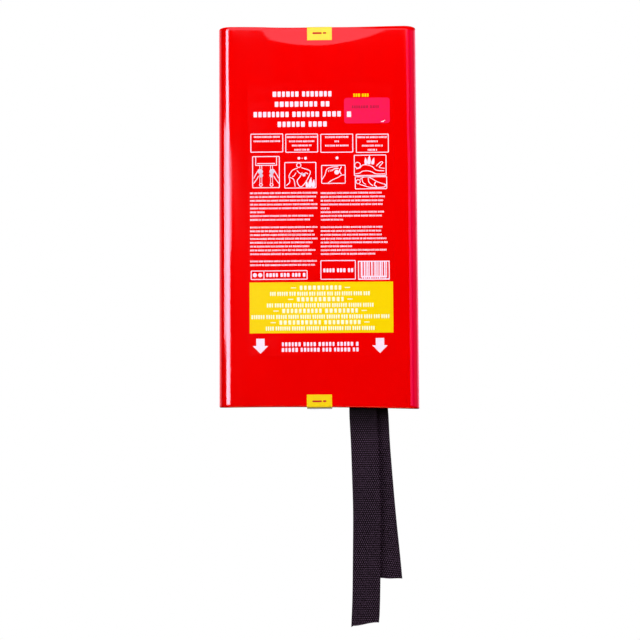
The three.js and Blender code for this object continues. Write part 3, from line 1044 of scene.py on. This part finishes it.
def lot_sticker():
    """A pink film with one dark line, a scuffed corner, and the end of a heading's line over it."""
    low, high = box_mm("lot_sticker")
    sticker = Shape()
    outline = round_rectangle(low[0], low[2], high[0], high[2], LOT_RADIUS, 6)
    sticker.prism(outline, -FILM, 0, on_lot, bevel=0.04)
    sticker.mark = 1
    blocks(sticker, low[0] + 7.2, high[0] - 10, high[2] - 9.8, 2.6, 1.5, 0.45, (4, 7), on_lot, spread=0.3)
    sticker.mark = 2
    blocks(sticker, low[0] + 2.6, low[0] + 6.4, -61.2, 5.1, 3.8, 1, (1, 1), on_lot)
    scuff = [(high[0] - u, low[2] + v) for u, v in ((8.6, 1.2), (6, 1), (4, 3), (6.4, 2.2))]
    sticker.prism(scuff, 0, INK / 2, on_lot)
    inks = [LOT_PINK, LOT_INK, PRINT_WHITE]
    add_piece(sticker, "lot_sticker_film", inks, "case", "lot_sticker", "lot_pink")


lot_sticker()

# ---- the seals over the top and bottom edges

SEAL_GAP = 0.05
SEAL_FILM = 0.14
TEAR_TEETH = 0.35
SEAL_COLUMNS = 24
SEAL_ASIDE = 1.1  # the seals sit this far left of their place in the CAD


def seal_path(x, end, tab, start_y, stop_y):
    """Round the case from a front tab's edge, over its end, to the back tab's edge, or between two depths
    there. Each place gives (y, z) and the way out of the surface. end is 1 at the top, -1 at the bottom."""
    limit = TOP if end > 0 else BOTTOM
    near = limit - end * END_RADIUS
    places = []
    if start_y is None:
        for t in np.linspace(0, 1, 9):
            z = limit - end * tab * (1 - t) - end * END_RADIUS * t
            places.append((front_y(x, z), z, -1, 0))
        face = front_y(x, near)
        for k in range(1, 6):
            a = math.radians(18 * k)
            y, z = face + END_RADIUS * (1 - math.cos(a)), near + end * END_RADIUS * math.sin(a)
            places.append((y, z, -math.cos(a), end * math.sin(a)))
    first = places[-1][0] + 1 if start_y is None else start_y
    last = BACK - END_RADIUS if stop_y is None else stop_y
    for y in np.linspace(first, last, 10):
        places.append((float(y), limit, 0, end))
    if stop_y is None:
        for k in range(1, 6):
            a = math.radians(18 * k)
            y, z = BACK - END_RADIUS * (1 - math.sin(a)), near + end * END_RADIUS * math.cos(a)
            places.append((y, z, math.sin(a), end * math.cos(a)))
        for t in np.linspace(0.1, 1, 8):
            z = near + (limit - end * tab - near) * t
            places.append((BACK, z, 1, 0))
    return places


def seal(name, node, body, end, tab, start_y=None, stop_y=None, marks=True, sag=0.0):
    """A yellow film bent over an edge of the case, with a plain broken line across its front tab."""
    low, high = box_mm(node)
    x0, x1 = low[0] - SEAL_ASIDE, high[0] - SEAL_ASIDE
    strip = Shape()
    columns = [x0 + (x1 - x0) * k / SEAL_COLUMNS for k in range(SEAL_COLUMNS + 1)]
    paths = [seal_path(x, end, tab, start_y, stop_y) for x in columns]
    rings = []
    for j in range(len(paths[0])):
        outer, inner = [], []
        for k, (x, path) in enumerate(zip(columns, paths)):
            y, z, ny, nz = path[j]
            z -= top_dip(x, z) + sag * math.sin(math.pi * j / (len(path) - 1))
            torn = (j == 0 and start_y is not None) or (j == len(path) - 1 and stop_y is not None)
            if torn:
                y += TEAR_TEETH * (k % 2) * (1 if j == 0 else -1)
            lift = SEAL_GAP + 0.03 * math.sin(1.9 * x + j) * (abs(nz) > 0.1)
            inner.append((x, y + ny * lift, z + nz * lift))
            outer.append((x, y + ny * (lift + SEAL_FILM), z + nz * (lift + SEAL_FILM)))
        rings.append(outer + inner[::-1])
    strip.sweep(rings)
    if marks:
        strip.mark = 1
        z = (TOP if end > 0 else BOTTOM) - end * tab / 2
        face = front_y((x0 + x1) / 2, z) - SEAL_GAP - SEAL_FILM

        def on_seal(u, v, depth):
            return u, face - depth, v

        for a, b in ((5, 13.4), (14.6, 17.4)):
            strip.prism(round_rectangle(x0 + a, z - 1, x0 + b, z + 0.7, 0.3, 2), -SEAL_GAP, INK, on_seal)
    add_piece(strip, name, [SEAL_YELLOW, SEAL_INK], body, node, "seal_yellow")


TAB = 11.8  # how far the bottom seal reaches up the case
seal("seal_top", "top_seal", "case", 1, 13.5)
seal("seal_bottom_front", "bottom_seal_front_tab", "case", -1, TAB, stop_y=-33.2)
bridge = {"start_y": -32.8, "stop_y": -4.8, "marks": False, "sag": 1.1}
seal("seal_bottom_bridge", "bottom_seal_bridge", "blanket", -1, TAB, **bridge)
seal("seal_bottom_rear", "bottom_seal_rear_tab", "case", -1, TAB, start_y=-4.4, marks=False)

# ---- the pull straps

STRAP_WIDTH = 25
STRAP_THICKNESS = 1.6
LONG_Y = -31.2
SHORT_Y = -24.9
SEWN_TO = -283  # a strap is free of the cloth below this
WEAVE_RELIEF = 0.1
LONG_LINE = [(39.6, -254), (39.6, -316), (39.7, -334), (40.8, -358), (41.6, -386)]
LONG_LINE += [(42.3, -420), (41.8, -460), (41.1, -496), (39.9, -521.4)]
SHORT_LINE = [(49.6, -254), (49.6, -316), (50.4, -336), (51.6, -362), (54, -396)]
SHORT_LINE += [(56.6, -428), (59.2, -456), (61.4, -480)]


def even_line(points, step):
    """Points a step apart along a smooth curve."""
    fine = smooth_line(points, 40)
    lengths = [0.0]
    for a, b in zip(fine, fine[1:]):
        lengths.append(lengths[-1] + (b - a).length)
    count = round(lengths[-1] / step)
    wanted = np.linspace(0, lengths[-1], count + 1)
    xs = np.interp(wanted, lengths, [p.x for p in fine])
    zs = np.interp(wanted, lengths, [p.y for p in fine])
    return [Vector((float(x), float(z))) for x, z in zip(xs, zs)]


def webbing(name, points, y, sway, cut, nodes, material):
    """A woven strap: its ribs and picks stand out as a fine relief, and its cut end is melted hard.
    sway(z) is how far it stands off its plane, and cut(t) raises its lower end from left to right."""
    line = even_line(points, PICK_PITCH / 8)
    columns = int(STRAP_WIDTH / RIB_PITCH * 6)
    strap = Shape()
    rings = []
    count = len(line)
    for j, middle in enumerate(line):
        ahead = line[min(j + 4, count - 1)] - line[max(j - 4, 0)]
        across = Vector((-ahead.y, ahead.x)).normalized()
        end = max(0, 1 - (count - 1 - j) / 5)  # 1 at the melted cut
        front, back = [], []
        for k in range(columns + 1):
            t = k / columns
            u = (t - 0.5) * STRAP_WIDTH
            edge = abs(2 * t - 1)
            half = STRAP_THICKNESS / 2 * math.sqrt(max(1 - edge**14, 0.02))
            weave = math.cos(math.pi * k / 3) * math.cos(math.pi * j / 4)
            weave *= WEAVE_RELIEF * (1 - end) * (edge < 0.93)
            rib = 0.05 * math.cos(math.pi * j / 2) * (edge >= 0.93)
            drop = ease(j, count - 24, count - 1) * cut(t)
            px, pz = middle + across * (u + rib)
            py = y + sway(pz) + 0.25 * math.sin(2.6 * t + pz / 37)
            melted = 0.14 * end * math.sin(2.1 * u + 1) + 0.1 * end
            front.append((px, py - half - weave - melted, pz + drop))
            back.append((px, py + half + weave + melted, pz + drop))
        rings.append(front + back[::-1])
    strap.sweep(rings)
    piece = strap.build(name, [material], merge=0, sharp_angle=180)
    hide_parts(*nodes)
    return piece, [Vector((p.x, y + sway(p.y), p.y)) * MM for p in line]


def declare_strap(piece, route, joint_body):
    """Bakes the strap's placing into its mesh. Its route's length, the route's point nearest the sewn
    height and a list of its points are worked out, but nothing uses them.
    """
    length = sum((b - a).length for a, b in zip(route, route[1:]))
    leaves = min(route, key=lambda p: abs(p.z / MM - SEWN_TO))
    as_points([tuple(p) for p in route[::8]] + [tuple(route[-1])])
    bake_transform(piece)


def long_cut(t):
    """The end is cut aslant, and its left corner is drawn out to a point."""
    return 3.9 * ease(t, 0.05, 0.95) - 1.2 * ease(t, 0.08, 0) if t > 0 else -1.2


def short_cut(t):
    return 1.75 - 3 * t + 0.2 * math.sin(9 * t)


def long_sway(z):
    return 0.5 * ease(z, -330, -360) * math.sin(z / 41)


def short_sway(z):
    return 0.6 * ease(z, -330, -370) * math.sin(z / 33 + 1)


def box_stitch(name, points, y, node):
    """A box of stitches with a cross in it, through the strap's sewn end."""
    x, top = points[0]
    half = STRAP_WIDTH / 2 - 3
    high = top - 4
    low = high - 44
    corners = [(x - half, high), (x + half, high), (x + half, low), (x - half, low)]
    thread = Shape()
    face = y - STRAP_THICKNESS / 2 - WEAVE_RELIEF
    for i, j in ((0, 1), (1, 2), (2, 3), (3, 0), (0, 2), (1, 3)):
        a, b = Vector(corners[i]), Vector(corners[j])
        count = round((b - a).length / 3)
        for k in range(count):
            path = []
            for t, lift in ((0.08, -0.25), (0.2, 0.12), (0.5, 0.2), (0.8, 0.12), (0.92, -0.25)):
                p = a.lerp(b, (k + t) / count)
                path.append((p.x, face - lift, p.y))
            thread.tube(path, 0.22)
    add_piece(thread, name, [THREAD], "blanket", node, "thread")


box_stitch("strap_long_stitches", LONG_LINE, LONG_Y, "long_strap_stitching")
box_stitch("strap_short_stitches", SHORT_LINE, SHORT_Y, "short_strap_stitching")
nodes = ("pull_strap_long", "long_strap_sewn_end")
strap = webbing("strap_long", LONG_LINE, LONG_Y, long_sway, long_cut, nodes, WEBBING_LONG)
declare_strap(*strap, "long_strap")
nodes = ("pull_strap_short", "short_strap_sewn_end")
strap = webbing("strap_short", SHORT_LINE, SHORT_Y, short_sway, short_cut, nodes, WEBBING_SHORT)
declare_strap(*strap, "short_strap")

# ---- the folded blanket

pack_low, pack_high = box_mm("folded_blanket")
PANEL_WIDTH = 150
PANELS = 8  # folded to and fro across the cloth's width
BUNDLES = 6  # then folded up along its length
LAYER = 0.5
BUNDLE_PITCH = (pack_high[1] - pack_low[1]) / BUNDLES
PANEL_STEPS = 15
BUNDLE_STEPS = 30
ROOM = 1.1  # that the cloth leaves on each side of the short strap's middle


def cloth_columns():
    """Across the unfolded cloth: (x, how far the layer lies from the bundle's middle)."""
    made = []
    for layer in range(PANELS):
        offset = (layer - (PANELS - 1) / 2) * LAYER
        way = 1 if layer % 2 == 0 else -1
        for t in np.linspace(-1, 1, PANEL_STEPS):
            made.append((way * t * PANEL_WIDTH / 2, offset, layer))
        if layer < PANELS - 1:
            for a in (30, 90, 150):
                bulge = LAYER / 2 * math.sin(math.radians(a))
                middle = offset + LAYER / 2 * (1 - math.cos(math.radians(a)))
                made.append((way * (PANEL_WIDTH / 2 + bulge), middle, layer))
    return made


def bundle_path():
    """Along the unfolded cloth: (y, z, the way the layers stack), from the front bundle's free end."""
    turn = BUNDLE_PITCH / 2
    low, high = pack_low[2] + turn, pack_high[2] - turn - PANELS / 2 * LAYER
    made = []
    for bundle in range(BUNDLES):
        y = pack_low[1] + BUNDLE_PITCH * (bundle + 0.5)
        rises = bundle % 2 == 0
        start, stop = (low, high) if rises else (high, low)
        if bundle == 0:
            start = pack_low[2] + 1
        if bundle == BUNDLES - 1:
            stop = pack_low[2] + 1
        n = (-1, 0) if rises else (1, 0)
        for t in np.linspace(0, 1, BUNDLE_STEPS):
            made.append((y, start + (stop - start) * t, n))
        if bundle < BUNDLES - 1:
            edge = high if rises else low
            for a in range(20, 180, 20):
                c, s = math.cos(math.radians(a)), math.sin(math.radians(a))
                side = 1 if rises else -1
                place = y + turn * (1 - c), edge + side * turn * s
                made.append((*place, (-c * side, s) if rises else (c, s)))
    return made


def make_room(x, y, z):
    """Moves the cloth back from the short strap's sewn end."""
    boundary = pack_low[1] + BUNDLE_PITCH
    far = boundary + 2 * BUNDLE_PITCH
    gap = SHORT_Y + ROOM - boundary
    if not boundary < y < far:
        return y
    strap_x, strap_top = SHORT_LINE[0]
    share = ease(abs(x - strap_x), STRAP_WIDTH / 2 + 7, STRAP_WIDTH / 2)
    share *= ease(z, strap_top + 14, strap_top)
    return y + gap * share * (far - y) / (far - boundary)


def folded_blanket():
    cloth = Shape()
    columns = cloth_columns()
    shift = [rng.uniform(-1, 1) for _ in range(PANELS + 1)]
    phase = [rng.uniform(0, 6) for _ in range(PANELS)]
    rows = []
    for y, z, (ny, nz) in bundle_path():
        row = []
        for x, offset, layer in columns:
            slack = 0.09 * math.sin(x / 11 + phase[layer]) * math.sin(z / 17 + 2 * phase[layer])
            edge = ease(abs(x), PANEL_WIDTH / 2 - 20, PANEL_WIDTH / 2)
            side = shift[layer + 1] if x > 0 else shift[layer]
            px = x + edge * (side + 0.5 * math.sin(z / 43 + layer))
            py, pz = y + ny * (offset + slack), z + nz * (offset + slack)
            row.append((px, make_room(px, py, pz), pz))
        rows.append(row)
    cloth.grid(rows)
    looks = [GLASS_CLOTH], "blanket", "folded_blanket", "glass_cloth"
    return add_piece(cloth, "blanket_cloth", *looks, sharp_angle=180)


def hem_stitches():
    """The seam along the free end that shows in the mouth."""
    thread = Shape()
    y = pack_low[1] + BUNDLE_PITCH / 2 - (PANELS - 1) / 2 * LAYER
    z = pack_low[2] + 7
    x = -PANEL_WIDTH / 2 + 3
    while x < PANEL_WIDTH / 2 - 5:
        path = [(x, y + 0.1, z), (x + 0.4, y - 0.3, z), (x + 2.2, y - 0.3, z), (x + 2.6, y + 0.1, z)]
        thread.tube(path, 0.2)
        x += 3.2
    return add_piece(thread, "blanket_hem_stitches", [THREAD], "blanket", None, "thread")


blanket = folded_blanket()
hem = hem_stitches()

# ---- light and surroundings


def soft_light(name, place, aim, width, height, power, colour=(1, 1, 1), diffuse=True, glossy=True):
    data = bpy.data.lights.new(name, "AREA")
    data.shape = "RECTANGLE"
    data.size = width
    data.size_y = height
    data.energy = power
    data.color = colour
    light = bpy.data.objects.new(name, data)
    bpy.context.collection.objects.link(light)
    light.location = place
    light.rotation_mode = "QUATERNION"
    light.rotation_quaternion = (Vector(aim) - Vector(place)).to_track_quat("-Z", "Y")
    light.visible_camera = False
    light.visible_diffuse = diffuse
    light.visible_glossy = glossy


def mirrored_strip(name, side, azimuths, heights, radiance):
    """An upright strip seen only as a reflection in a side edge of the case, between these angles."""
    start, stop = (math.radians(a) for a in azimuths)
    low, high = heights
    middle = (start + stop) / 2
    width = 2 * STRIP_DISTANCE * math.tan((stop - start) / 2)
    edge = Vector((side * HALF * MM, FRONT * MM, (low + high) / 2))
    place = edge + STRIP_DISTANCE * Vector((side * math.sin(middle), -math.cos(middle), 0))
    power = math.pi * width * (high - low)
    soft_light(name, place, edge, width, high - low, power, radiance, diffuse=False)


def surroundings():
    """White to the camera, and a soft glow from behind the case for everything else."""
    world = bpy.data.worlds.new("studio")
    bpy.context.scene.world = world
    world.use_nodes = True
    nodes, links = world.node_tree.nodes, world.node_tree.links
    path = nodes.new("ShaderNodeLightPath")
    place = nodes.new("ShaderNodeTexCoord")
    split = nodes.new("ShaderNodeSeparateXYZ")
    links.new(place.outputs["Generated"], split.inputs[0])
    behind = nodes.new("ShaderNodeMapRange")
    behind.interpolation_type = "SMOOTHSTEP"
    for socket, value in (("From Min", 0.4), ("From Max", 0.95), ("To Min", 0.0), ("To Max", 0.6)):
        behind.inputs[socket].default_value = value
    links.new(split.outputs["Y"], behind.inputs["Value"])
    shown = nodes.new("ShaderNodeMath")
    shown.operation = "MAXIMUM"
    links.new(path.outputs["Is Camera Ray"], shown.inputs[0])
    links.new(behind.outputs["Result"], shown.inputs[1])
    links.new(shown.outputs[0], nodes["Background"].inputs["Strength"])
    nodes["Background"].inputs["Color"].default_value = (1, 1, 1, 1)


STRIP_DISTANCE = 1.2
EVERY_HEIGHT = (-0.4, 0.45)
STRIPS = (  # (side, azimuths, heights, radiance of each colour)
    (-1, (20, 43), EVERY_HEIGHT, (24, 24, 24)),
    (-1, (17, 20), (-0.4, 0.27), (24, 24, 24)),
    (-1, (12, 17), (-0.4, 0.18), (22, 22, 22)),
    (-1, (8, 12), (-0.4, 0.09), (12, 12, 12)),
    (-1, (5.3, 8), (-0.04, 0.14), (10, 10, 10)),
    (-1, (43, 66), (-0.2, 0.19), (15, 15, 15)),
    (-1, (98, 112), EVERY_HEIGHT, (1.5, 0.4, 0.6)),
    (-1, (112, 165), EVERY_HEIGHT, (2.6, 0.9, 1.0)),
    (1, (20, 41), (0.15, 0.45), (3, 0.28, 1.9)),
    (1, (27, 48), (-0.4, 0.15), (3, 0.28, 1.9)),
    (1, (48, 68), EVERY_HEIGHT, (0.4, 0.02, 1)),
    (1, (68, 99), EVERY_HEIGHT, (2.4, 0.16, 0.8)),
    (1, (99, 112), EVERY_HEIGHT, (1, 0.12, 0.5)),
    (1, (112, 165), EVERY_HEIGHT, (2.4, 1.1, 1.6)),
)


def studio():
    middle = (0, 0, -0.2)
    soft_light("overhead", (0, -1.5, 0.95), (0, 0, -0.05), 1.7, 1.0, 11.6)
    soft_light("left_fill", (-1.5, -1.9, 0.6), middle, 1.5, 1.5, 39.4, glossy=False)
    soft_light("right_fill", (1.5, -1.9, 0.6), middle, 1.5, 1.5, 37.6, glossy=False)
    soft_light("back_left", (-1.5, 1.2, 0.6), middle, 1.2, 1.2, 7, glossy=False)
    soft_light("back_right", (1.5, 1.2, 0.6), middle, 1.2, 1.2, 7, glossy=False)
    mouth = (0, 0, -0.32)
    orange = (1, 0.45, 0.14)
    soft_light("low_card", (0.3, -0.8, -1.0), mouth, 1.6, 0.6, 13, orange, diffuse=False)
    for i, strip in enumerate(STRIPS):
        mirrored_strip(f"strip_{i}", *strip)


FLOOR_HEIGHT = -2.6  # far enough down for the case, which hangs on a wall, to be looked at from below
FLOOR_RADIUS = 1.6


def floor():
    """A plain pale floor, which neither lights the case nor shows in its gloss."""
    shape = bmesh.new()
    bmesh.ops.create_circle(shape, cap_ends=True, segments=96, radius=FLOOR_RADIUS)
    mesh = bpy.data.meshes.new("floor")
    shape.to_mesh(mesh)
    shape.free()
    glow = {"emission_color": (1, 1, 1, 1), "emission_strength": 0.45}
    m = Material("floor", linear(232, 232, 232), 0.7, **glow)
    m.cloud(m.noise(6, 3), 0.35, 0.65, (234, 234, 234), (229, 229, 229))
    mesh.materials.append(m.made)
    made = bpy.data.objects.new("floor", mesh)
    bpy.context.collection.objects.link(made)
    made.location = (0, 0, FLOOR_HEIGHT)
    made.visible_diffuse = False
    made.visible_glossy = False


surroundings()
studio()
floor()
bpy.context.scene.view_settings.view_transform = "Standard"
bpy.context.scene.view_settings.look = "None"
